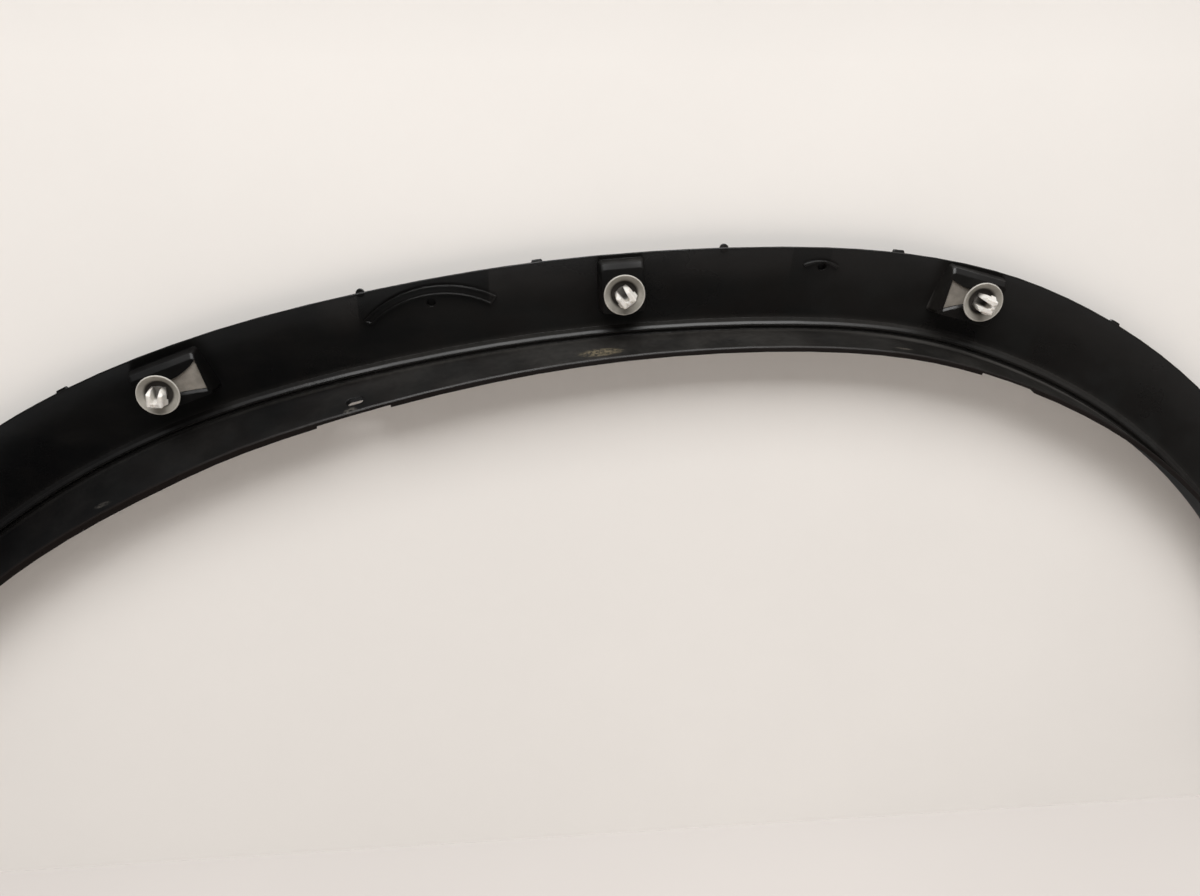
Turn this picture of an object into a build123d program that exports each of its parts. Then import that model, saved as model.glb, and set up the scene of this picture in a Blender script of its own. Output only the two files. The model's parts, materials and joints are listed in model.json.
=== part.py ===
"""Wheel arch trim: an arched plastic moulding with clip houses, push-in clips and sealing cups.

Millimetres. X runs along the vehicle, +Y points outboard, +Z points up.
The origin is on the centre clip's axis, in the plane where the sealing cups meet the body panel.
"""
import os
from math import cos, hypot, pi, radians, sin

from build123d import *

os.makedirs("parts", exist_ok=True)

# Outer edge of the arch: three tangent arcs, angles in degrees from the vertical, right positive
TOP_R = 880.0
LEFT_R = 430.0
RIGHT_R = 306.0
LEFT_TANGENT = -16.25
RIGHT_TANGENT = 3.2
LEFT_END = -71.0
RIGHT_END = 90.0

# Section across the band, insets measured inward from the outer edge
WALL = 2.5
LIP_Y = 5.0
LIP_W = 0.4
LIP_DROP = 0.3
RETURN_RUN = 3.2
RETURN_DEEP = 7.2
OUTER_RUN = 0.5
OUTER_DEEP = 10.6
FACE_Y = 17.6
FACE_SLOPE = 0.14
FACE_BEND = 0.28
CORNER = 4.5
RIDGE_INSET = 37.5
RIDGE_TAPER = 13.5
BEAD_W = 3.4
BEAD_H = 1.6
BEAD_BACK = 1.1
CREST = 0.6
CREST_PULL = 0.35
GROOVE_W = 2.6
GROOVE_DEEP = 0.3
ROOT_Y = 14.2
ROOT_RISE = 0.8
TIP_Y = -5.0
TIP_EDGE = 0.5
LEAN_CROWN = 4.4
LEAN_LEFT = 10.0
LEAN_LEFT_LEG = -4.0
LEAN_RIGHT = -4.0

# The outer edge follows the arcs at the crown and runs out past them toward both legs
EDGE_IN = 0.0
EDGE_LEFT = 3.7
EDGE_LEFT_SPAN = (5.0, 71.0)
EDGE_LEFT_POWER = 2.0
EDGE_RIGHT = 5.55
EDGE_RIGHT_SPAN = (-5.0, 90.0)
EDGE_RIGHT_POWER = 1.4

# Angles over which the bead and the flange change toward the legs
TAPER_SPAN = (18.0, 77.0)
LEAN_LEFT_SPAN = (0.0, 24.0)
LEAN_LEFT_LEG_SPAN = (28.0, 70.0)
LEAN_RIGHT_SPAN = (12.0, 60.0)

# Clip houses: (angle, inset of the clip axis, way the slot widens, direction of the prong's gap,
# distance to the slot's wide end, outward shift of that end, width of the plate past it)
CENTRE_ANGLE = -4.0
CENTRE_INSET = 17.8
CENTRE_TURN = 128.0
SIDE_HOUSES = (
    (-50.0, 18.0, 1, 100.0, 20.0, 0.8, 0.3),
    (-20.4, 17.8, 1, 84.0, 20.0, 0.8, 0.3),
    (15.45, 14.3, -1, 159.0, 15.9, -1.6, 1.4),
    (60.0, 13.4, -1, 140.0, 15.9, -0.6, 1.4),
)
CLIP_LEAN = 9.0
PLATE_Y = 2.0
PLATE_T = 2.4
HOUSE_WALL = 1.8
HOUSE_DEPTH = 14.0
HOUSE_SPAN = 40.0
HOUSE_OUT = 8.9
HOUSE_BACK = 9.8
HOUSE_CORNER = 1.6
HOUSE_DRAFT = 0.15
BEVEL_RUN = 2.0
BEVEL_DEEP = 1.7
MOUTH_HALF = 7.0
MOUTH_SKEW = 0.8
MOUTH_LEDGE = 3.0
NECK_R = 3.4
NECK_HALF = 3.3
FAN_START = 0.3
FAN_BEND = 0.7
FAN_FULL = 0.5
SLOT_PLAY = 0.2
SLOT_FLARE = 1.3
CENTRE_HALF = 9.6
CENTRE_OUT = 11.2
CENTRE_MOUTH = 9.6
HALL = 5.0

# Clip and sealing cup
HEAD_L = 12.0
HEAD_W = 9.6
HEAD_T = 2.0
TONGUE_T = 1.4
TONGUE_SINK = 0.9
SEAL_FLOOR = 0.8
SEAL_R = 9.5
SEAL_BASE_R = 6.6
SEAL_RIM_Z = 2.2
SEAL_LIP = 0.5
THROAT_R = 5.8
THROAT_Z = -0.4
PRONG_R = 4.1
PRONG_H = 10.0
PRONG_NOSE = 3.5
PRONG_NECK = 3.0
PRONG_ROUND = 3.2
PRONG_FLOOR = 1.2
PRONG_EDGE = 0.6
GAP_END = 1.2
GAP_MOUTH = 1.9
GAP_START = -0.2
BARB_OUT = 0.6
BARB_L = 2.4
POCKET = 1.1
POCKET_DEEP = 0.5

# The centre clip sits at the origin, which places the crown
CROWN_X = (TOP_R - CENTRE_INSET) * sin(radians(-CENTRE_ANGLE))
CROWN_Z = TOP_R - (TOP_R - CENTRE_INSET) * cos(radians(CENTRE_ANGLE))

# Small features of the moulding
TAB_ANGLES = (-25.81, -6.48, 7.04, 29.1)
TAB_L = 4.2
TAB_OUT = 0.9
TAB_FOOT = 0.5
TAB_T = 2.0
NUB_ANGLES = (-11.73, -0.87)
NUB_R = 1.9
NUB_SINK = 0.3
CRESCENT = ((-118.9, -12.6), (-84.0, 4.0), (-57.8, -1.6))
CRESCENT_INNER = ((-114.9, -13.9), (-84.5, -0.4), (-60.4, -5.5))
BROW = ((85.2, 11.4), (93.2, 13.1), (102.3, 10.3))
BROW_INNER = ((86.4, 10.3), (93.2, 11.9), (101.1, 9.4))
RIB_H = 1.4
RIB_FLOOR = 0.7
RIM_W = 0.8
DIMPLES = ((-87.6, -4.0), (94.4, 10.4))
DIMPLE_R = 2.0
DIMPLE_SHARE = 0.8
SLOT_ANGLE = -12.75
SLOT_L = 8.4
SLOT_W = 4.6
SLOT_RISE = 0.68
RECESSES = ((-12.85, 35.0), (21.05, 29.0))
RECESS_DEEP = 1.1
RECESS_TALL = 6.0
RECESS_CUT = 4.0
RECESS_BELOW = 1.0


def blend(value, span):
    """Smooth step from 0 at the span's start to 1 at its stop."""
    share = min(1.0, max(0.0, (value - span[0]) / (span[1] - span[0])))
    return share * share * (3.0 - 2.0 * share)


def arc_of(angle):
    """Centre and radius of the arc that holds this angle."""
    if angle < LEFT_TANGENT:
        step = TOP_R - LEFT_R
        turn = radians(LEFT_TANGENT)
        return CROWN_X + step * sin(turn), CROWN_Z - TOP_R + step * cos(turn), LEFT_R
    if angle > RIGHT_TANGENT:
        step = TOP_R - RIGHT_R
        turn = radians(RIGHT_TANGENT)
        return CROWN_X + step * sin(turn), CROWN_Z - TOP_R + step * cos(turn), RIGHT_R
    return CROWN_X, CROWN_Z - TOP_R, TOP_R


def section_plane(angle):
    """Plane across the arch: local x inward, local y outboard."""
    cx, cz, r = arc_of(angle)
    s = sin(radians(angle))
    c = cos(radians(angle))
    return Plane(origin=(cx + r * s, 0, cz + r * c), x_dir=(-s, 0, -c), z_dir=(c, 0, -s))


def clip_plane(angle, inset):
    """Seat of a clip: local x along the arch, local y outward, local z inboard along the clip."""
    cx, cz, r = arc_of(angle)
    s = sin(radians(angle))
    c = cos(radians(angle))
    r = r - inset
    lean = sin(radians(CLIP_LEAN))
    axis = (-s * lean, -cos(radians(CLIP_LEAN)), -c * lean)
    return Plane(origin=(cx + r * s, 0, cz + r * c), x_dir=(c, 0, -s), z_dir=axis)


def edge_at(angle):
    """Inset of the outer edge from the arcs."""
    left = max(0.0, (-angle - EDGE_LEFT_SPAN[0]) / (EDGE_LEFT_SPAN[1] - EDGE_LEFT_SPAN[0]))
    right = max(0.0, (angle - EDGE_RIGHT_SPAN[0]) / (EDGE_RIGHT_SPAN[1] - EDGE_RIGHT_SPAN[0]))
    return EDGE_IN - EDGE_LEFT * left**EDGE_LEFT_POWER - EDGE_RIGHT * right**EDGE_RIGHT_POWER


def edge_plane(angle):
    """Plane on the outer edge: local x along the arch, local y outward, local z inboard."""
    cx, cz, r = arc_of(angle)
    s = sin(radians(angle))
    c = cos(radians(angle))
    r = r - edge_at(angle)
    return Plane(origin=(cx + r * s, LIP_Y, cz + r * c), x_dir=(c, 0, -s), z_dir=(0, -1, 0))


def ridge_at(angle):
    """Inset of the bead, which runs out toward the right leg."""
    return RIDGE_INSET - RIDGE_TAPER * blend(angle, TAPER_SPAN)


def lean_at(angle):
    """How far the flange leans inward between its root and its free edge."""
    lean = LEAN_CROWN + LEAN_RIGHT * blend(angle, LEAN_RIGHT_SPAN)
    lean = lean + LEAN_LEFT * blend(-angle, LEAN_LEFT_SPAN)
    return lean + LEAN_LEFT_LEG * blend(-angle, LEAN_LEFT_LEG_SPAN)


def inner_curve(angle, shift=0.0):
    """Control points of the band's inboard side, moved outboard by shift."""
    end = ridge_at(angle) - BEAD_W
    bend = FACE_BEND * end
    lip = edge_at(angle) + LIP_W
    return (
        (lip, LIP_Y + shift),
        (lip + RETURN_RUN, RETURN_DEEP + shift),
        (bend, ROOT_Y - (end - bend) * FACE_SLOPE + shift),
        (end, ROOT_Y + shift),
    )


def flange_at(angle):
    """Root, free edge and slope of the flange's outward side, and its wall measured along the inset."""
    root = (ridge_at(angle) + GROOVE_W, ROOT_Y - ROOT_RISE)
    lean = lean_at(angle)
    tip = (root[0] + lean, TIP_Y)
    slope = lean / (root[1] - TIP_Y)
    return root, tip, slope, WALL * hypot(1.0, slope)


def trim_section(angle):
    """One closed section of the moulding."""
    ridge = ridge_at(angle)
    root, tip, slope, wall = flange_at(angle)
    corner = (tip[0] + wall - slope * (FACE_Y - TIP_Y), FACE_Y)
    reach = hypot(1.0, FACE_SLOPE)
    fall = hypot(1.0, slope)
    start = (corner[0] - CORNER / reach, corner[1] - CORNER * FACE_SLOPE / reach)
    stop = (corner[0] + CORNER * slope / fall, corner[1] - CORNER / fall)
    bend = FACE_BEND * start[0]
    edge = edge_at(angle)
    lip = (edge, LIP_Y + LIP_DROP)
    side = (tip[0] - slope * TIP_EDGE, TIP_Y + TIP_EDGE)
    groove = (ridge + BEAD_BACK, ROOT_Y + GROOVE_DEEP)
    crest = (ridge - CREST, ROOT_Y - BEAD_H)
    peak = (crest[0] + CREST_PULL * (BEAD_W - CREST), crest[1] - CREST_PULL * BEAD_H)
    with BuildSketch(section_plane(angle)) as profile:
        with BuildLine():
            Bezier(
                lip,
                (edge + OUTER_RUN, OUTER_DEEP),
                (bend, start[1] - FACE_SLOPE * (start[0] - bend)),
                start,
            )
            Bezier(start, corner, stop)
            Polyline(stop, (tip[0] + wall, TIP_Y), (tip[0] + TIP_EDGE, TIP_Y), side)
            Polyline(side, root, (root[0] - ROOT_RISE / 2, groove[1]), groove)
            Bezier(groove, peak, crest)
            Line(crest, (ridge - BEAD_W, ROOT_Y))
            Bezier(*reversed(inner_curve(angle)))
            Line((edge + LIP_W, LIP_Y), lip)
        make_face()
    return profile.sketch


def layer_section(angle, low, high):
    """A layer over the band's inboard side, from low to high outboard of it."""
    under = inner_curve(angle, low)
    over = inner_curve(angle, high)
    with BuildSketch(section_plane(angle)) as profile:
        with BuildLine():
            Bezier(*under)
            Line(under[-1], over[-1])
            Bezier(*reversed(over))
            Line(over[0], under[0])
        make_face()
    return profile.sketch


def flange_plane(angle, rise):
    """Plane on the flange's outward side, local x along the arch, at a share of its height."""
    root, tip, slope, wall = flange_at(angle)
    across = section_plane(angle)
    inset = root[0] + rise * (tip[0] - root[0])
    depth = root[1] + rise * (tip[1] - root[1])
    spot = across.origin + across.x_dir * inset + across.y_dir * depth
    return Plane(origin=spot, x_dir=across.z_dir, z_dir=across.x_dir * -1.0 - across.y_dir * slope)


def recess_sections(angle, length):
    """Sections of a shallow cut into the wheel side of the flange's free edge."""
    inset = flange_at(angle)[1][0]
    half = length / 2 / (arc_of(angle)[2] - inset) * 180.0 / pi
    outlines = []
    for turn in (angle - half, angle, angle + half):
        root, tip, slope, wall = flange_at(turn)
        edge = tip[0] + wall - RECESS_DEEP
        low = edge + slope * RECESS_BELOW
        high = edge - slope * RECESS_TALL
        with BuildSketch(section_plane(turn)) as outline:
            with BuildLine():
                Polyline(
                    (low, TIP_Y - RECESS_BELOW),
                    (low + RECESS_CUT, TIP_Y - RECESS_BELOW),
                    (high + RECESS_CUT, TIP_Y + RECESS_TALL),
                    (high, TIP_Y + RECESS_TALL),
                    close=True,
                )
            make_face()
        outlines.append(outline.sketch)
    return outlines


def turned(plane, direction):
    """The same seat with its local x turned toward a direction in the X-Z plane."""
    aim = Vector(cos(radians(direction)), 0, sin(radians(direction)))
    return Plane(origin=plane.origin, x_dir=aim - plane.z_dir * aim.dot(plane.z_dir), z_dir=plane.z_dir)


def spread(start, stop, count):
    return [start + (stop - start) * i / count for i in range(count)]


def frustum(seat, box, levels, inset=0.0):
    """Outlines of a house at some depths under its plate: box lists x0, x1, y0 and y1 at the plate."""
    outlines = []
    for down in levels:
        grow = HOUSE_DRAFT * down - inset * hypot(1.0, HOUSE_DRAFT)
        bevel = BEVEL_RUN * min(1.0, down / BEVEL_DEEP)
        x0 = box[0] - grow
        x1 = box[1] + grow
        y0 = box[2] - grow
        y1 = box[3] + grow + bevel
        with BuildSketch(seat.offset(-PLATE_Y - down)) as outline:
            with Locations(((x0 + x1) / 2, (y0 + y1) / 2)):
                RectangleRounded(x1 - x0, y1 - y0, HOUSE_CORNER - 0.5 * inset)
        outlines.append(outline.sketch)
    return outlines


def fan(plane, way, mouth, shift, play, flare=0.0):
    """Outline of a tongue that widens toward its end, or of its slot with play and a flared wheel side."""
    neck = NECK_HALF + play
    half = MOUTH_HALF + play
    begin = FAN_START * mouth * way
    bend = FAN_BEND * mouth * way
    far = mouth + play / 2
    drop = FAN_FULL * (MOUTH_HALF - shift - NECK_HALF)
    outer = ((far + MOUTH_SKEW) * way, shift + half)
    inner = ((far - MOUTH_SKEW) * way, shift - half - flare)
    with BuildSketch(plane) as outline:
        with BuildLine():
            Polyline((0, neck), (0, -neck - flare), (begin, -neck - flare))
            Bezier((begin, -neck - flare), (bend, -neck - flare - drop), inner)
            Line(inner, outer)
            Bezier(outer, (bend, neck), (begin, neck))
            Line((begin, neck), (0, neck))
        make_face()
    return outline.sketch


LEFT_STATIONS = spread(LEFT_END, LEFT_TANGENT, 7)
TOP_STATIONS = spread(LEFT_TANGENT, RIGHT_TANGENT, 5)
RIGHT_STATIONS = spread(RIGHT_TANGENT, RIGHT_END, 8) + [RIGHT_END]
STATIONS = LEFT_STATIONS + TOP_STATIONS + RIGHT_STATIONS
CENTRE = clip_plane(CENTRE_ANGLE, CENTRE_INSET)
SIDES = [clip_plane(house[0], house[1]) for house in SIDE_HOUSES]

# Space behind the visible face, which the houses and ribs are trimmed to
with BuildPart() as backing:
    loft([layer_section(station, -HOUSE_SPAN, 0.5 * WALL) for station in STATIONS])

RIB_STATIONS = LEFT_STATIONS[-1:] + TOP_STATIONS + RIGHT_STATIONS[:3]
with BuildPart() as rib_layer:
    loft([layer_section(station, -RIB_H, DIMPLE_SHARE * WALL) for station in RIB_STATIONS])

with BuildPart() as floor_layer:
    loft([layer_section(station, -2 * RIB_H, -RIB_FLOOR) for station in RIB_STATIONS])

# Side houses: drafted boxes, bevelled outward, with a fan-shaped slot whose wide end lets the clip's head in
WHOLE = (0.0, BEVEL_DEEP, HOUSE_DEPTH)
UNDER = (PLATE_T, HOUSE_DEPTH)
with BuildPart() as side_houses:
    for seat, (angle, inset, way, turn, mouth, shift, ledge) in zip(SIDES, SIDE_HOUSES):
        ends = sorted((-HOUSE_BACK * way, (mouth + MOUTH_SKEW + ledge) * way))
        box = (ends[0], ends[1], shift - MOUTH_HALF - MOUTH_LEDGE, HOUSE_OUT)
        loft(frustum(seat, box, WHOLE), ruled=True)
        loft(frustum(seat, box, UNDER, HOUSE_WALL), ruled=True, mode=Mode.SUBTRACT)
        plate = seat.offset(-PLATE_Y)
        slot = fan(plate, way, mouth, shift, SLOT_PLAY)
        extrude(slot, amount=-PLATE_T - SLOT_PLAY, mode=Mode.SUBTRACT)
        flared = fan(plate, way, mouth, shift, SLOT_PLAY, SLOT_FLARE)
        loft([flared, fan(plate.offset(-TONGUE_SINK), way, mouth, shift, SLOT_PLAY)], mode=Mode.SUBTRACT)
        with BuildSketch(plate):
            Circle(NECK_R + SLOT_PLAY)
        extrude(amount=-PLATE_T - SLOT_PLAY, mode=Mode.SUBTRACT)
    add(backing.part, mode=Mode.INTERSECT)

# The centre house is short and opens toward the wheel
with BuildPart() as centre_house:
    box = (-CENTRE_HALF, CENTRE_HALF, -CENTRE_MOUTH, CENTRE_OUT)
    loft(frustum(CENTRE, box, WHOLE), ruled=True)
    box = (-CENTRE_HALF, CENTRE_HALF, -CENTRE_MOUTH - HALL, CENTRE_OUT)
    loft(frustum(CENTRE, box, UNDER, HOUSE_WALL), ruled=True, mode=Mode.SUBTRACT)
    with BuildSketch(CENTRE.offset(-PLATE_Y)):
        Circle(NECK_R + SLOT_PLAY)
        with Locations((0, -CENTRE_MOUTH / 2)):
            Rectangle(2 * NECK_R, CENTRE_MOUTH + SLOT_PLAY)
    extrude(amount=-PLATE_T - SLOT_PLAY, mode=Mode.SUBTRACT)
    add(backing.part, mode=Mode.INTERSECT)

# Crescent and brow ribs that follow the band, the crescent with a lower middle
with BuildPart() as ribs:
    with BuildSketch(Plane.XZ):
        for rim, inner in ((CRESCENT, CRESCENT_INNER), (BROW, BROW_INNER)):
            with BuildLine():
                ThreePointArc(*rim)
                Line(rim[2], inner[2])
                ThreePointArc(*reversed(inner))
                Line(inner[0], rim[0])
            make_face()
    extrude(amount=-HOUSE_SPAN)
    add(rib_layer.part, mode=Mode.INTERSECT)

with BuildPart() as rib_floor:
    with BuildSketch(Plane.XZ):
        with BuildLine():
            ThreePointArc(*CRESCENT)
            Line(CRESCENT[2], CRESCENT_INNER[2])
            ThreePointArc(*reversed(CRESCENT_INNER))
            Line(CRESCENT_INNER[0], CRESCENT[0])
        make_face()
        offset(amount=-RIM_W, mode=Mode.REPLACE)
    extrude(amount=-HOUSE_SPAN)
    add(floor_layer.part, mode=Mode.INTERSECT)

with BuildPart() as dimples:
    with BuildSketch(Plane.XZ):
        with Locations(*DIMPLES):
            Circle(DIMPLE_R)
    extrude(amount=-HOUSE_SPAN)
    add(rib_layer.part, mode=Mode.INTERSECT)

# The moulding
with BuildPart() as arch_trim:
    loft([trim_section(station) for station in STATIONS])
    add(side_houses.part)
    add(centre_house.part)
    add(ribs.part)
    add(rib_floor.part, mode=Mode.SUBTRACT)
    for angle in TAB_ANGLES:
        with BuildSketch(edge_plane(angle).offset(-LIP_DROP)):
            with BuildLine():
                Polyline(
                    (-TAB_L / 2 - TAB_FOOT, 0),
                    (-TAB_L / 2, TAB_OUT),
                    (TAB_L / 2, TAB_OUT),
                    (TAB_L / 2 + TAB_FOOT, 0),
                    (TAB_L / 2 + TAB_FOOT, -LIP_W),
                    (-TAB_L / 2 - TAB_FOOT, -LIP_W),
                    close=True,
                )
            make_face()
        extrude(amount=-TAB_T)
    for angle in NUB_ANGLES:
        with BuildSketch(edge_plane(angle).offset(-LIP_DROP)):
            with Locations((0, -NUB_SINK)):
                Circle(NUB_R)
        extrude(amount=-TAB_T)
    add(dimples.part, mode=Mode.SUBTRACT)
    with BuildSketch(flange_plane(SLOT_ANGLE, SLOT_RISE)):
        SlotOverall(SLOT_L, SLOT_W)
    extrude(amount=2 * WALL, both=True, mode=Mode.SUBTRACT)
    for angle, length in RECESSES:
        loft(recess_sections(angle, length), mode=Mode.SUBTRACT)

# The clip's base and its forked prong, each on its own axis
with BuildPart() as clip_base:
    with BuildSketch(Plane.XY.offset(-PLATE_Y - PLATE_T)):
        RectangleRounded(HEAD_L, HEAD_W, HEAD_T)
    extrude(amount=-HEAD_T)
    with BuildSketch(Plane.XY.offset(-PLATE_Y - PLATE_T)):
        Circle(NECK_R)
    extrude(amount=PLATE_T + SEAL_FLOOR)

PRONG_Z = SEAL_FLOOR - PLATE_Y
PRONG_TOP = PRONG_Z + PRONG_H
with BuildPart() as prong:
    with BuildSketch(Plane.XY.offset(PRONG_Z)):
        RectangleRounded(2 * PRONG_R, 2 * PRONG_R, PRONG_ROUND)
    extrude(amount=PRONG_H)
    with BuildSketch(Plane.XZ):
        with BuildLine():
            Polyline(
                (0, PRONG_Z),
                (PRONG_NECK, PRONG_Z),
                (PRONG_R, PRONG_Z + 0.5 * PRONG_H),
                (PRONG_R, PRONG_Z + 0.6 * PRONG_H),
                (PRONG_NOSE, PRONG_TOP - PRONG_EDGE),
                (PRONG_NOSE - PRONG_EDGE, PRONG_TOP),
                (0, PRONG_TOP),
            )
            mirror(about=Plane.YZ)
        make_face()
    extrude(amount=2 * PRONG_R, both=True, mode=Mode.INTERSECT)
    with BuildSketch(Plane.YZ):
        with BuildLine():
            Polyline(
                (-PRONG_NECK, PRONG_Z),
                (-PRONG_R, PRONG_Z + 0.4 * PRONG_H),
                (-PRONG_R, PRONG_Z + 0.8 * PRONG_H),
                (-PRONG_NOSE, PRONG_TOP - PRONG_EDGE),
                (PRONG_EDGE - PRONG_NOSE, PRONG_TOP),
                (0.6 * PRONG_NOSE, PRONG_TOP),
                (PRONG_R, PRONG_Z + 0.7 * PRONG_H),
                (PRONG_R, PRONG_Z + 0.4 * PRONG_H),
                (PRONG_NECK, PRONG_Z),
                close=True,
            )
        make_face()
    extrude(amount=2 * PRONG_R, both=True, mode=Mode.INTERSECT)
    with BuildSketch(Plane.XZ.offset(0.2 * PRONG_R)):
        with BuildLine():
            Polyline(
                (PRONG_NECK, PRONG_Z + 0.45 * PRONG_H),
                (PRONG_R + BARB_OUT, PRONG_Z + 0.5 * PRONG_H),
                (PRONG_NECK, PRONG_Z + 0.85 * PRONG_H),
                close=True,
            )
        make_face()
        mirror(about=Plane.YZ)
    extrude(amount=BARB_L)
    with BuildSketch(Plane.XY.offset(PRONG_Z + PRONG_FLOOR)):
        with BuildLine():
            Polyline(
                (-GAP_END, GAP_START),
                (GAP_END, GAP_START),
                (GAP_MOUTH, PRONG_R + BARB_OUT),
                (-GAP_MOUTH, PRONG_R + BARB_OUT),
                close=True,
            )
        make_face()
        with Locations((0, GAP_START)):
            Circle(GAP_END)
    extrude(amount=PRONG_H, mode=Mode.SUBTRACT)
    with BuildSketch(Plane.XY.offset(PRONG_TOP - POCKET_DEEP)):
        with Locations((-POCKET, -0.6 * PRONG_R), (POCKET, -0.6 * PRONG_R)):
            Rectangle(POCKET, POCKET)
    extrude(amount=POCKET_DEEP + PRONG_EDGE, mode=Mode.SUBTRACT)

with BuildPart() as slide_clips:
    for seat, (angle, inset, way, turn, mouth, shift, ledge) in zip(SIDES, SIDE_HOUSES):
        with Locations(seat):
            add(clip_base.part)
        tongue = fan(seat.offset(-PLATE_Y - TONGUE_SINK), way, mouth, shift, 0.0)
        extrude(tongue, amount=-TONGUE_T)
        with Locations(turned(seat, turn - 90.0)):
            add(prong.part)

with BuildPart() as centre_clip:
    with Locations(CENTRE):
        add(clip_base.part)
    with Locations(turned(CENTRE, CENTRE_TURN - 90.0)):
        add(prong.part)

# One soft cup, then a cup on every clip
with BuildPart() as cup:
    with BuildSketch(Plane.XZ):
        with BuildLine():
            Line((NECK_R, -PLATE_Y), (SEAL_BASE_R, -PLATE_Y))
            Bezier(
                (SEAL_BASE_R, -PLATE_Y),
                (SEAL_BASE_R, THROAT_Z),
                (SEAL_R, SEAL_RIM_Z - SEAL_LIP),
            )
            Polyline(
                (SEAL_R, SEAL_RIM_Z - SEAL_LIP),
                (SEAL_R - SEAL_LIP / 2, SEAL_RIM_Z),
                (SEAL_R - SEAL_LIP, SEAL_RIM_Z),
                (THROAT_R, THROAT_Z),
                (THROAT_R, SEAL_FLOOR - PLATE_Y),
                (NECK_R, SEAL_FLOOR - PLATE_Y),
                (NECK_R, -PLATE_Y),
            )
        make_face()
    revolve(axis=Axis.Z)

with BuildPart() as clip_seals:
    with Locations(CENTRE, *SIDES):
        add(cup.part)

for piece, name in (
    (arch_trim, "arch_trim"),
    (slide_clips, "slide_clips"),
    (centre_clip, "centre_clip"),
    (clip_seals, "clip_seals"),
):
    piece.part.label = name

export_step(arch_trim.part, "parts/arch_trim.step")
export_step(slide_clips.part, "parts/slide_clips.step")
export_step(centre_clip.part, "parts/centre_clip.step")
export_step(clip_seals.part, "parts/clip_seals.step")
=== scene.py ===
"""Wheel arch trim: finishes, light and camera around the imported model.

Metres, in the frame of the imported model: X along the vehicle, +Y outboard, +Z up, centre clip at the origin.
A pair of numbers named as a place or a turn is where a soft change starts and where it ends.
"""
import json

import bmesh
import bpy
from mathutils import Matrix, Vector


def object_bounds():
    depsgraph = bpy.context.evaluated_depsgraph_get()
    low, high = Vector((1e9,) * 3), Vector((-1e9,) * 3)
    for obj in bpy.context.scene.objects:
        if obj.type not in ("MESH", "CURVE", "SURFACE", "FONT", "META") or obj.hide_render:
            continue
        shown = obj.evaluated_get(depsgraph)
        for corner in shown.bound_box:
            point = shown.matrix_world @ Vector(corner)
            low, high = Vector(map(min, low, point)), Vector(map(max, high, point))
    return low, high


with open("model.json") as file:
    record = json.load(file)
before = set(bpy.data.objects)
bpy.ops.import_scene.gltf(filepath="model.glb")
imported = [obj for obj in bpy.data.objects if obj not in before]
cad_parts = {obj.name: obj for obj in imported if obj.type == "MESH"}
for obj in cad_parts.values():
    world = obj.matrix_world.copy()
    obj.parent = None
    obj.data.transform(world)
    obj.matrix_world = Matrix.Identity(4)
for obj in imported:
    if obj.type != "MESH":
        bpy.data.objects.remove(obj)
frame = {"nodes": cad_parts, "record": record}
cad_low, cad_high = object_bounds()
MOUNTS = frame["record"]["mounts"]

# Camera: a 30 mm lens on a 36 mm sensor, looking a little down at the inboard side
LENS = 30.0
SENSOR = 36.0
NEAREST_SEEN = 0.01
EYE = Vector((-0.0542, -0.4520, 0.0669))
AHEAD = Vector((0.09092, 0.95136, -0.29435))

# Stage: the backdrop's colour is mixed toward black with height, a painted shade that holds back the key light
# where the upper part is close to it
WALL_GAP = 0.0014
STAGE_HALF = 2.6
WALL_TOP = 2.2
FADE_FROM = 0.1
FADE_RATE = 1.8
DRUM_SIDES = 64
PAPER = (0.86, 0.825, 0.785, 1.0)
FLOOR = (0.605, 0.560, 0.525, 1.0)
SURROUND = (0.74, 0.705, 0.67, 1.0)
BLACK = (0.0, 0.0, 0.0, 1.0)
PAPER_CLOUDS = 0.96
PAPER_ROUGHNESS = 0.9
PAPER_SHINE = 0.1

# Lamps: place, aim, size and power in watts
KEY_PLACE = Vector((-0.02, -0.95, 1.25))
KEY_AIM = Vector((0.0, 0.0, -0.05))
KEY_SIZE = (1.6, 0.9)
KEY_POWER = 27.6
BACK_PLACE = Vector((0.5, 1.3, 0.9))
BACK_AIM = Vector((0.0, 0.0, -0.1))
BACK_SIZE = (1.2, 0.8)
BACK_POWER = 9.0

# Room brightness by height: 0 straight down, 0.5 level, 1 straight up
ROOM = (
    (0.0, 0.60),
    (0.12, 0.20),
    (0.25, 0.03),
    (0.5, 0.05),
    (0.62, 0.12),
    (0.80, 0.20),
    (0.9, 0.8),
    (1.0, 1.25),
)

# Moulding blacks, each from one end of its mottling to the other
# The left black is darker and the middle and right blacks paler: painted shade and painted light along the
# arch
LEFT_BLACK = ((0.0018, 0.0018, 0.0020, 1.0), (0.0036, 0.0034, 0.0033, 1.0))
MIDDLE_BLACK = ((0.0082, 0.0079, 0.0074, 1.0), (0.0130, 0.0124, 0.0114, 1.0))
RIGHT_BLACK = ((0.0128, 0.0124, 0.0118, 1.0), (0.0178, 0.0172, 0.0162, 1.0))
FACE_BLACK = ((0.021, 0.021, 0.0215, 1.0), (0.028, 0.028, 0.0285, 1.0))

# Other colours on the moulding
WARM = (0.0088, 0.0067, 0.0058, 1.0)
SMEAR = (0.012, 0.0113, 0.0103, 1.0)
SMEAR_SHARE = 0.35
DUST = (0.042, 0.039, 0.035, 1.0)
# Painted highlight line in the flange root toward the right leg
ROOT_HIGHLIGHT = (0.085, 0.080, 0.074, 1.0)
BRINK = (0.011, 0.0080, 0.0068, 1.0)
BRINK_SHARE = 0.8
VEIL = (0.0175, 0.0158, 0.0148, 1.0)
PATCH_BLACK = (0.0030, 0.0028, 0.0026, 1.0)

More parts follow.
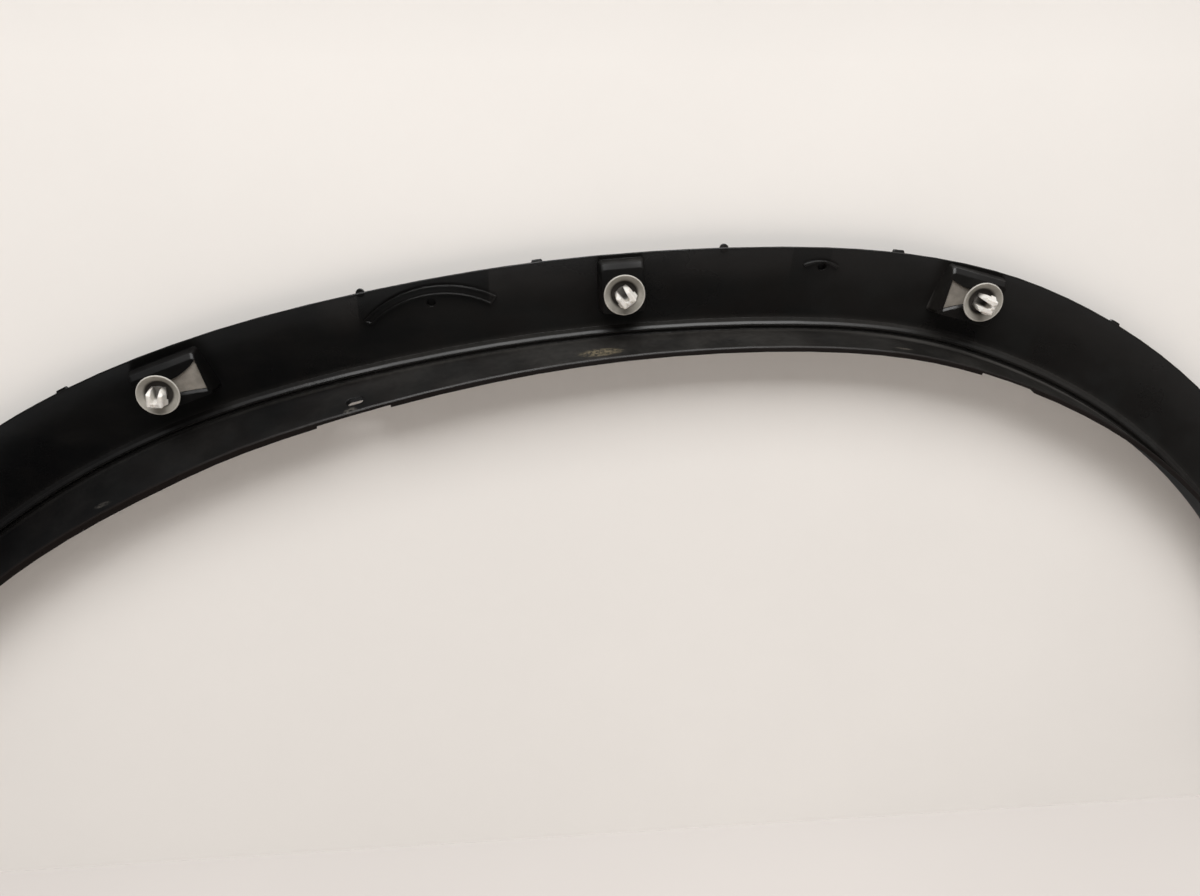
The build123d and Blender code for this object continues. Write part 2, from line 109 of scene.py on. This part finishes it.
# Moulding, places in X: the black gets paler toward the middle and again toward the right leg, painted shade
# on the left and painted light toward the middle and right for how the light falls along the arch
TO_MIDDLE_X = (-0.30, 0.22)
TO_RIGHT_X = (0.14, 0.27)

# Moulding, places in X where the painted highlight line in the flange root and the paler veil begin
SWEPT_X = (0.10, 0.16)
VEIL_X = (-0.150, -0.122)

# Contrast of each noise: the values between which its mask goes from nothing to full
MOTTLE_CONTRAST = (0.35, 0.7)
FINE_CONTRAST = (0.3, 0.7)
SETTLED_CONTRAST = (0.35, 0.65)
WARM_CONTRAST = (0.40, 0.62)
SMEAR_CONTRAST = (0.45, 0.75)
GRIT_CONTRAST = (0.38, 0.6)
VEIL_CONTRAST = (0.3, 0.65)
GRIME_CONTRAST = (0.35, 0.75)
CLOUD_CONTRAST = (0.3, 0.7)

# Darker patches on the band's rolled edge, above the brow and at the crescent, where the paler veil is thin:
# ends in X, how much darker
PATCHES = ((0.0790, 0.0985, 0.0), (-0.1210, -0.0606, 0.7))
PATCH_SOFTNESS = 0.001

# Moulding, places in Y: bead, flange root, the flange's free edge and the band's rolled edge
CREST_Y = (0.0131, 0.0135)
ROOT_Y = (0.0120, 0.0130)
CORNER_Y = (0.0138, 0.0144)
UNDER_BEAD_Y = (0.0122, 0.0126)
SWEPT_Y = (0.0095, 0.0120)
BRINK_Y = (-0.0043, -0.0048)
ROLLED_Y = ((0.0048, 0.0055), (0.0120, 0.0085))

# Turns of a face, as parts of its normal: outboard in Y, up in Z and sideways in X
OUTSIDE_TURN = (0.15, 0.4)
SLOPING_TURN = (-0.93, -0.72)
UPWARD_TURN = (0.25, 0.8)
SIDEWAYS_TURN = (0.45, 0.85)
DOWNWARD_TURN = (-0.10, -0.22)
ROLLED_TURN = (-0.80, -0.88)
BROAD_TURN = (-0.93, -0.97)
BEAD_SLOPE_TURN = ((-0.94, -0.91), (-0.79, -0.82))
UNDER_BEAD_TURN = ((-0.975, -0.95), (-0.55, -0.65))
SLOT_FLARE_TURN = ((-0.66, -0.60), (-0.28, -0.34))

# Duller bevel on the centre house: middle, direction, half length and half width, share
BEVEL_MIDDLE = Vector((0.0, 0.0030, 0.0105))
BEVEL_ALONG = Vector((1.0, 0.0, 0.0))
BEVEL_HALF = (0.016, 0.005)
BEVEL_SHARE = 0.75

# Moulding gloss and grain
SATIN = (0.27, 0.40)
DUSTY_ROUGHER = 0.10
OUTSIDE_ROUGHER = 0.12
DULL_ROUGHER = 0.45
FULL_SHINE = (1.0, 1.0, 1.0, 1.0)
WEAK_SHINE = (0.30, 0.30, 0.30, 1.0)
MOULDING_SHINE = 0.35
GRAIN_SCALE = 900.0

# Scuffs on the flange: centre, rise of its direction, half length, half width, colour, strength
SCUFFS = (
    (Vector((-0.1255, -0.0042, -0.0507)), 0.25, 0.0030, 0.0022, (0.13, 0.12, 0.105, 1.0), 0.7),
    (Vector((-0.0105, 0.0008, -0.0268)), 0.0, 0.0098, 0.0034, (0.20, 0.165, 0.105, 1.0), 0.8),
    (Vector((0.1345, 0.0000, -0.0277)), 0.0, 0.0060, 0.0010, (0.16, 0.14, 0.115, 1.0), 0.5),
    (Vector((-0.2405, -0.0018, -0.0930)), 0.25, 0.0050, 0.0012, (0.10, 0.09, 0.08, 1.0), 0.4),
)
OVAL_EDGE = (0.1, 1.6)

# Distances from a clip's axis, and heights along it
CLIP_ROOM = (0.04, 0.035)
FLARE_REACH = (0.0225, 0.0205)
HOUSE_REACH = (0.0165, 0.0185)
TONGUE_REACH = (0.0059, 0.0063)
THROAT_REACH = (0.0072, 0.0057)
RIM_REACH = (0.0087, 0.0090)
STEM_HEIGHT = (0.0050, 0.0015)

# Clip and cup
CLIP_WHITE = (0.76, 0.73, 0.68, 1.0)
CLIP_GRIMY = (0.55, 0.52, 0.47, 1.0)
CLIP_STEM_SHADE = (0.060, 0.052, 0.044, 1.0)
TONGUE_GREY = ((0.26, 0.237, 0.205, 1.0), (0.19, 0.171, 0.147, 1.0))
CLIP_ROUGHNESS = (0.38, 0.55)
CLIP_SHINE = 0.4
CLIP_GLOW = 0.15
CLIP_GLOW_DEPTH = (0.0012, 0.0010, 0.0008)
CUP_GREY = ((0.30, 0.284, 0.250, 1.0), (0.39, 0.368, 0.325, 1.0))
CUP_THROAT_SHADE = (0.045, 0.039, 0.033, 1.0)
CUP_RIM_HIGHLIGHT = (0.52, 0.495, 0.45, 1.0)
CUP_RIM_SHARE = 0.6
CUP_ROUGHNESS = (0.5, 0.66)
CUP_SHINE = 0.3

# Radii that soften the edges of the moulding, the clips and the cups
MOULDED_EDGE = 0.0008
CLIP_EDGE = 0.0004
CUP_EDGE = 0.0002


class Finish:
    """One material and short forms for its nodes."""

    def __init__(self, name):
        self.material = bpy.data.materials.new(name)
        self.material.use_nodes = True
        self.tree = self.material.node_tree
        self.shader = self.tree.nodes["Principled BSDF"]
        self.place = self.add("ShaderNodeTexCoord").outputs["Object"]
        self.facing = self.add("ShaderNodeNewGeometry").outputs["Normal"]

    def add(self, kind, **settings):
        node = self.tree.nodes.new(kind)
        for name, value in settings.items():
            setattr(node, name, value)
        return node

    def put(self, socket, value):
        """Links an output to a socket, or sets the socket to a constant."""
        if isinstance(value, bpy.types.NodeSocket):
            self.tree.links.new(value, socket)
        else:
            socket.default_value = value

    def set(self, **values):
        """Sets or links inputs of the shader, with underscores for the spaces in their names."""
        for name, value in values.items():
            self.put(self.shader.inputs[name.replace("_", " ")], value)

    def math(self, operation, first, second=0.0, clamp=False):
        node = self.add("ShaderNodeMath", operation=operation, use_clamp=clamp)
        self.put(node.inputs[0], first)
        self.put(node.inputs[1], second)
        return node.outputs[0]

    def times(self, first, *others):
        """Product of masks and numbers."""
        for other in others:
            first = self.math("MULTIPLY", first, other)
        return first

    def vector(self, operation, *inputs, output="Vector"):
        """Result of vector maths; the output is Value where the result is a number."""
        node = self.add("ShaderNodeVectorMath", operation=operation)
        for socket, value in zip(node.inputs, inputs):
            self.put(socket, value)
        return node.outputs[output]

    def part(self, vector, axis):
        """One component of a vector."""
        node = self.add("ShaderNodeSeparateXYZ")
        self.put(node.inputs[0], vector)
        return node.outputs[axis]

    def step(self, value, start, stop, low=0.0, high=1.0):
        """Smooth change from low to high as the value goes from start to stop."""
        node = self.add("ShaderNodeMapRange", interpolation_type="SMOOTHSTEP")
        for socket, number in zip(node.inputs[:5], (value, start, stop, low, high)):
            self.put(socket, number)
        return node.outputs[0]

    def between(self, value, rising, falling):
        """One inside a range with soft ends, and zero outside it."""
        return self.times(self.step(value, *rising), self.step(value, *falling))

    def noise(self, scale, detail=3.0, rough=0.55, stretch=None):
        place = self.vector("MULTIPLY", self.place, stretch) if stretch else self.place
        node = self.add("ShaderNodeTexNoise")
        self.put(node.inputs["Vector"], place)
        node.inputs["Scale"].default_value = scale
        node.inputs["Detail"].default_value = detail
        node.inputs["Roughness"].default_value = rough
        return node.outputs["Fac"]

    def mix(self, share, first, second):
        """Colour between first and second."""
        node = self.add("ShaderNodeMix", data_type="RGBA")
        self.put(node.inputs["Factor"], share)
        self.put(node.inputs[6], first)
        self.put(node.inputs[7], second)
        return node.outputs[2]

    def bump(self, height, strength, distance, under):
        """Normal with small relief on top of the normal under it."""
        node = self.add("ShaderNodeBump")
        node.inputs["Strength"].default_value = strength
        node.inputs["Distance"].default_value = distance
        self.put(node.inputs["Height"], height)
        self.put(node.inputs["Normal"], under)
        return node.outputs["Normal"]

    def rounded(self, radius):
        """Normal that rounds off sharp moulded edges."""
        node = self.add("ShaderNodeBevel", samples=4)
        node.inputs["Radius"].default_value = radius
        return node.outputs[0]

    def beside_clip(self, mount):
        """Distance from one clip's axis."""
        offset = self.vector("SUBTRACT", self.place, mount["pos_m"])
        across = self.vector("CROSS_PRODUCT", offset, mount["axis"])
        return self.vector("LENGTH", across, output="Value")

    def beside_clips(self):
        """Distance from the nearest clip's axis."""
        nearest, *others = [self.beside_clip(mount) for mount in MOUNTS]
        for distance in others:
            nearest = self.math("MINIMUM", nearest, distance)
        return nearest

    def along_clips(self):
        """Height along the axis of the clip that is near."""
        height = 0.0
        for mount in MOUNTS:
            offset = self.vector("SUBTRACT", self.place, mount["pos_m"])
            rise = self.vector("DOT_PRODUCT", offset, mount["axis"], output="Value")
            near = self.step(self.beside_clip(mount), *CLIP_ROOM)
            height = self.math("ADD", height, self.times(near, rise))
        return height

    def spot(self, centre, along, half_length, half_width):
        """Soft oval round a point, long in one direction."""
        offset = self.vector("SUBTRACT", self.place, centre)
        run = self.math("POWER", self.vector("DOT_PRODUCT", offset, along, output="Value"), 2.0)
        reach = self.math("POWER", self.vector("LENGTH", offset, output="Value"), 2.0)
        lengthwise = self.math("DIVIDE", run, half_length * half_length)
        crosswise = self.math("DIVIDE", self.math("SUBTRACT", reach, run), half_width * half_width)
        return self.step(self.math("ADD", lengthwise, crosswise), *OVAL_EDGE, low=1.0, high=0.0)


class Moulding(Finish):
    """Satin black moulding: mottled inboard side, flange with dust and scuffs, grained visible face, with
    painted light and shade where noted.
    """

    def __init__(self):
        super().__init__("moulding_black")
        self.along = self.part(self.place, "X")
        self.height = self.part(self.place, "Y")
        self.outboard = self.part(self.facing, "Y")
        self.up = self.part(self.facing, "Z")
        self.reach = self.beside_clips()
        self.forward = self.step(self.along, *TO_MIDDLE_X)
        self.mottle = self.step(self.noise(scale=14.0, detail=5.0), *MOTTLE_CONTRAST)
        self.fine = self.noise(scale=420.0, detail=4.0, rough=0.6)
        self.outside = self.step(self.outboard, *OUTSIDE_TURN)
        self.upward = self.step(self.up, *UPWARD_TURN)
        # Faces turned along X take the dust colour as painted light, standing in for light from the side
        sideways = self.math("ABSOLUTE", self.part(self.facing, "X"))
        sideways = self.step(sideways, *SIDEWAYS_TURN, high=0.7)
        sloping = self.step(self.outboard, *SLOPING_TURN)
        sloping = self.times(sloping, self.math("SUBTRACT", 1.0, self.outside))
        self.ledge = self.times(self.math("MAXIMUM", self.upward, sideways), sloping)
        settled = self.step(self.noise(scale=26.0, detail=5.0), *SETTLED_CONTRAST, low=0.15)
        self.dust_and_side_light = self.times(self.ledge, self.step(self.fine, *FINE_CONTRAST, low=0.55), settled)

    def mottled(self, blacks):
        return self.mix(self.mottle, *blacks)

    def black(self):
        """Base colour along the arch, darker on the left and paler toward the middle and right as painted
        shade and light, with warm clouds and smears.
        """
        # Painted shade on the left and painted light toward the middle and right
        colour = self.mix(self.forward, self.mottled(LEFT_BLACK), self.mottled(MIDDLE_BLACK))
        colour = self.mix(self.step(self.along, *TO_RIGHT_X), colour, self.mottled(RIGHT_BLACK))
        warm = self.step(self.noise(scale=48.0), *WARM_CONTRAST)
        warm = self.times(warm, self.step(self.forward, 0.0, 0.5, low=0.2, high=0.45))
        colour = self.mix(warm, colour, WARM)
        smear = self.noise(scale=38.0, detail=6.0, rough=0.62, stretch=(0.35, 1.0, 1.6))
        smear = self.times(self.step(smear, *SMEAR_CONTRAST), SMEAR_SHARE)
        return self.mix(smear, colour, SMEAR)

    def dusted(self, colour):
        """Dust on the flange with painted light on its side walls, dust and a painted highlight in its root,
        painted light under the bead, and a painted highlight line in the root toward the right leg.
        """
        # Dust on up-facing faces, painted light on side walls, more of both toward the middle
        on_flange = self.times(self.dust_and_side_light, self.step(self.forward, 0.0, 0.7, low=0.10, high=0.58))
        colour = self.mix(on_flange, colour, DUST)
        # Dust in the flange root and the corner by the bead, partly painted light: a painted highlight line at
        # the root and lighter colour in the shaded groove
        root = self.times(self.step(self.height, *ROOT_Y), self.upward)
        groove_dust_and_light = self.math("MAXIMUM", root, self.step(self.height, *CORNER_Y))
        groove_dust_and_light = self.times(groove_dust_and_light, self.step(self.forward, 0.0, 0.4, low=0.15, high=0.6))
        groove_dust_and_light = self.times(groove_dust_and_light, self.step(self.fine, *FINE_CONTRAST, low=0.5))
        colour = self.mix(groove_dust_and_light, colour, DUST)
        # Painted light: dust colour on the bead's down-facing underside lifts its shade
        under = self.between(self.outboard, *UNDER_BEAD_TURN)
        under = self.times(under, self.step(self.up, *DOWNWARD_TURN), self.step(self.height, *UNDER_BEAD_Y))
        under = self.times(under, self.step(self.forward, 0.0, 0.4, low=0.2, high=0.6))
        colour = self.mix(under, colour, DUST)
        # Painted highlight: a pale line along the flange root near the houses toward the right leg
        root_line = self.times(self.ledge, self.step(self.height, *SWEPT_Y), self.step(self.along, *SWEPT_X))
        root_line = self.times(root_line, self.step(self.reach, *HOUSE_REACH, high=0.7))
        return self.mix(root_line, colour, ROOT_HIGHLIGHT)

    def scuffed(self, colour):
        """Scuffs on the flange."""
        grit = self.step(self.noise(scale=700.0, detail=4.0, rough=0.7), *GRIT_CONTRAST)
        for centre, rise, half_length, half_width, tint, strength in SCUFFS:
            direction = Vector((1.0, 0.0, rise)).normalized()
            oval = self.spot(centre, direction, half_length, half_width)
            colour = self.mix(self.times(oval, grit, strength), colour, tint)
        return colour

    def edged(self, colour):
        """Brown free edge on the flange; a paler veil on the band's rolled edge, with darker patches in it."""
        brink = self.times(self.step(self.height, *BRINK_Y), BRINK_SHARE)
        colour = self.mix(brink, colour, BRINK)
        rolled = self.times(self.between(self.height, *ROLLED_Y), self.step(self.outboard, *ROLLED_TURN))
        veil = self.step(self.noise(scale=30.0, detail=4.0), *VEIL_CONTRAST, low=0.4, high=0.9)
        veil = self.times(veil, rolled, self.step(self.along, *VEIL_X))
        for start, stop, darker in PATCHES:
            rising = (start, start + PATCH_SOFTNESS)
            falling = (stop, stop - PATCH_SOFTNESS)
            patch = self.between(self.along, rising, falling)
            veil = self.times(veil, self.step(patch, 0.0, 1.0, low=1.0, high=0.1))
            colour = self.mix(self.times(patch, rolled, darker), colour, PATCH_BLACK)
        return self.mix(veil, colour, VEIL)

    def gloss(self):
        """Satin gloss, duller on the bead's slope, one bevel and the slot flares, and calmer on the left."""
        slope = self.between(self.outboard, *BEAD_SLOPE_TURN)
        dull = self.times(slope, self.step(self.height, *CREST_Y))
        bevel = self.times(self.spot(BEVEL_MIDDLE, BEVEL_ALONG, *BEVEL_HALF), BEVEL_SHARE)
        dull = self.math("MAXIMUM", dull, bevel)
        flare = self.between(self.outboard, *SLOT_FLARE_TURN)
        dull = self.math("MAXIMUM", dull, self.times(flare, self.step(self.reach, *FLARE_REACH)))
        calm = self.math("MAXIMUM", self.step(self.outboard, *BROAD_TURN), self.ledge)
        calm = self.times(calm, self.step(self.forward, 0.60, 0.05, high=0.65))
        rough = self.step(self.mottle, 0.0, 1.0, *SATIN)
        rough = self.math("ADD", rough, self.times(self.dust_and_side_light, DUSTY_ROUGHER))
        rough = self.math("ADD", rough, self.times(self.outside, OUTSIDE_ROUGHER))
        rough = self.math("ADD", rough, self.times(dull, DULL_ROUGHER), clamp=True)
        tint = self.mix(self.math("MAXIMUM", dull, calm), FULL_SHINE, WEAK_SHINE)
        self.set(Roughness=rough, Specular_Tint=tint, Specular_IOR_Level=MOULDING_SHINE)

    def relief(self):
        """Soft waves and fine texture, and a grain on the visible face alone."""
        cells = self.add("ShaderNodeTexVoronoi", feature="SMOOTH_F1")
        self.put(cells.inputs["Vector"], self.place)
        cells.inputs["Scale"].default_value = GRAIN_SCALE
        grain = self.times(cells.outputs["Distance"], self.outside)
        normal = self.rounded(MOULDED_EDGE)
        normal = self.bump(self.noise(scale=55.0), strength=0.10, distance=0.0012, under=normal)
        normal = self.bump(self.fine, strength=0.10, distance=0.0004, under=normal)
        self.set(Normal=self.bump(grain, strength=0.45, distance=0.0005, under=normal))


def moulding_finish():
    moulding = Moulding()
    colour = moulding.dusted(moulding.black())
    colour = moulding.edged(moulding.scuffed(colour))
    colour = moulding.mix(moulding.outside, colour, moulding.mottled(FACE_BLACK))
    moulding.set(Base_Color=colour)
    moulding.gloss()
    moulding.relief()
    return moulding.material


def clip_finish():
    """Natural white clip plastic, with painted shade low on the stem deep in the cup, and grey on the tongue
    that lies in the house.
    """
    f = Finish("clip_white")
    grime = f.step(f.noise(scale=900.0, detail=4.0, rough=0.6), *GRIME_CONTRAST)
    colour = f.mix(f.times(grime, 0.5), CLIP_WHITE, CLIP_GRIMY)
    # Painted shade: the stem goes dark low in the cup
    colour = f.mix(f.step(f.along_clips(), *STEM_HEIGHT, high=0.85), colour, CLIP_STEM_SHADE)
    dust = f.step(f.noise(scale=260.0, detail=5.0, rough=0.6), *CLOUD_CONTRAST)
    tongue = f.step(f.beside_clips(), *TONGUE_REACH)
    f.set(Base_Color=f.mix(tongue, colour, f.mix(dust, *TONGUE_GREY)))
    f.set(Roughness=f.step(grime, 0.0, 1.0, *CLIP_ROUGHNESS), Specular_IOR_Level=CLIP_SHINE)
    f.set(Subsurface_Weight=CLIP_GLOW, Subsurface_Radius=CLIP_GLOW_DEPTH, Subsurface_Scale=1.0)
    texture = f.noise(scale=1500.0)
    f.set(Normal=f.bump(texture, strength=0.12, distance=0.0003, under=f.rounded(CLIP_EDGE)))
    return f.material


def seal_finish():
    """Soft grey sealing cup, with painted shade in its deep throat and a painted highlight on its rim."""
    f = Finish("seal_grey")
    cloud = f.step(f.noise(scale=220.0, detail=5.0, rough=0.6), *CLOUD_CONTRAST)
    reach = f.beside_clips()
    # Painted shade: the cup goes dark toward its deep throat
    colour = f.mix(f.step(reach, *THROAT_REACH), f.mix(cloud, *CUP_GREY), CUP_THROAT_SHADE)
    # Painted highlight: a paler line round the cup's rim
    rim = f.times(f.step(reach, *RIM_REACH), CUP_RIM_SHARE)
    f.set(Base_Color=f.mix(rim, colour, CUP_RIM_HIGHLIGHT))
    f.set(Roughness=f.step(cloud, 0.0, 1.0, *CUP_ROUGHNESS), Specular_IOR_Level=CUP_SHINE)
    texture = f.noise(scale=1800.0)
    f.set(Normal=f.bump(texture, strength=0.10, distance=0.0002, under=f.rounded(CUP_EDGE)))
    return f.material


def paper_finish(name, colour):
    """Faintly uneven matt paper; returns the finish and its colour."""
    f = Finish(name + "_paper")
    darker = tuple(PAPER_CLOUDS * channel for channel in colour[:3]) + (1.0,)
    clouds = f.step(f.noise(scale=3.0, detail=4.0), *CLOUD_CONTRAST)
    paper = f.mix(clouds, colour, darker)
    f.set(Base_Color=paper, Roughness=PAPER_ROUGHNESS, Specular_IOR_Level=PAPER_SHINE)
    return f, paper


def stage_sheet(name, corners, finish):
    """A flat stage sheet."""
    mesh = bpy.data.meshes.new(name)
    mesh.from_pydata(corners, [], [(0, 1, 2, 3)])
    mesh.materials.append(finish.material)
    sheet = bpy.data.objects.new(name, mesh)
    bpy.context.scene.collection.objects.link(sheet)
    return sheet


def build_floor(half, low):
    """Pale floor under the trim, kept out of the gloss so that the moulding stays black."""
    corners = [(-half, -half, low), (half, -half, low), (half, half, low), (-half, half, low)]
    finish, _ = paper_finish("floor", FLOOR)
    stage_sheet("floor", corners, finish).visible_glossy = False


def build_backdrop(half, low):
    """A pale sheet upright behind the trim, clear from its back, with painted shade that darkens its colour
    with height.
    """
    f, paper = paper_finish("backdrop", PAPER)
    # Painted shade: above FADE_FROM the paper's colour goes toward black, against the close key light
    above = f.math("MAXIMUM", f.math("SUBTRACT", f.part(f.place, "Z"), FADE_FROM), 0.0)
    fade = f.math("DIVIDE", 1.0, f.math("ADD", 1.0, f.times(above, FADE_RATE)))
    f.set(Base_Color=f.mix(fade, BLACK, paper))
    choose = f.add("ShaderNodeMixShader")
    f.put(choose.inputs[0], f.add("ShaderNodeNewGeometry").outputs["Backfacing"])
    f.put(choose.inputs[1], f.shader.outputs[0])
    f.put(choose.inputs[2], f.add("ShaderNodeBsdfTransparent").outputs[0])
    f.put(f.tree.nodes["Material Output"].inputs["Surface"], choose.outputs[0])
    back = cad_high.y + WALL_GAP
    corners = [(-half, back, low), (half, back, low), (half, back, WALL_TOP), (-half, back, WALL_TOP)]
    backdrop = stage_sheet("backdrop", corners, f)
    backdrop.visible_shadow = False
    backdrop.visible_diffuse = False
    backdrop.visible_glossy = False


def build_surround(half, low):
    """A pale drum round the floor, seen by the camera alone, so that it adds no light."""
    mesh = bpy.data.meshes.new("surround")
    drum = bmesh.new()
    bmesh.ops.create_cone(drum, segments=DRUM_SIDES, radius1=half, radius2=half, depth=2.0 * half)
    drum.to_mesh(mesh)
    drum.free()
    surround = bpy.data.objects.new("surround", mesh)
    surround.location.z = low
    bpy.context.scene.collection.objects.link(surround)
    f = Finish("surround_paper")
    glow = f.add("ShaderNodeEmission")
    glow.inputs["Color"].default_value = SURROUND
    f.put(f.tree.nodes["Material Output"].inputs["Surface"], glow.outputs[0])
    mesh.materials.append(f.material)
    surround.visible_diffuse = False
    surround.visible_glossy = False
    surround.visible_transmission = False
    surround.visible_shadow = False


def softbox(name, place, aim, size, power):
    """A rectangular lamp at a place, turned to its aim."""
    lamp = bpy.data.lights.new(name, "AREA")
    lamp.shape = "RECTANGLE"
    lamp.size, lamp.size_y = size
    lamp.energy = power
    box = bpy.data.objects.new(name, lamp)
    box.location = place
    box.rotation_mode = "QUATERNION"
    box.rotation_quaternion = (aim - place).to_track_quat("-Z", "Y")
    bpy.context.scene.collection.objects.link(box)


def build_room():
    """A room that is brighter overhead and dark near the level."""
    world = bpy.data.worlds.new("studio")
    bpy.context.scene.world = world
    world.use_nodes = True
    tree = world.node_tree
    way = tree.nodes.new("ShaderNodeTexCoord")
    split = tree.nodes.new("ShaderNodeSeparateXYZ")
    tree.links.new(way.outputs["Generated"], split.inputs[0])
    height = tree.nodes.new("ShaderNodeMapRange")
    height.inputs["From Min"].default_value = -1.0
    tree.links.new(split.outputs["Z"], height.inputs["Value"])
    curve = tree.nodes.new("ShaderNodeValToRGB")
    tree.links.new(height.outputs[0], curve.inputs[0])
    ramp = curve.color_ramp.elements
    while len(ramp) < len(ROOM):
        ramp.new(0.5)
    for stop, (place, level) in zip(ramp, ROOM):
        stop.position = place
        stop.color = (level, level, level, 1.0)
    tree.links.new(curve.outputs[0], tree.nodes["Background"].inputs["Color"])


def build_camera():
    """The photograph's viewpoint."""
    camera = bpy.data.objects.new("camera", bpy.data.cameras.new("camera"))
    camera.data.lens = LENS
    camera.data.sensor_width = SENSOR
    camera.data.clip_start = NEAREST_SEEN
    right = AHEAD.cross(Vector((0.0, 0.0, 1.0))).normalized()
    up = right.cross(AHEAD).normalized()
    turn = Matrix((right, up, -AHEAD.normalized())).transposed()
    camera.matrix_world = Matrix.Translation(EYE) @ turn.to_4x4()
    bpy.context.scene.collection.objects.link(camera)
    bpy.context.scene.camera = camera


def dress(node, material):
    """Gives a CAD node its finish."""
    for slot in frame["nodes"][node].material_slots:
        slot.material = material


dress("arch_trim", moulding_finish())
clip = clip_finish()
dress("slide_clips", clip)
dress("centre_clip", clip)
dress("clip_seals", seal_finish())
build_floor(STAGE_HALF, cad_low.z)
build_backdrop(STAGE_HALF, cad_low.z)
build_surround(STAGE_HALF, cad_low.z)
softbox("key_light", KEY_PLACE, KEY_AIM, KEY_SIZE, KEY_POWER)
softbox("back_light", BACK_PLACE, BACK_AIM, BACK_SIZE, BACK_POWER)
build_room()
build_camera()
bpy.context.scene.view_settings.view_transform = "Standard"
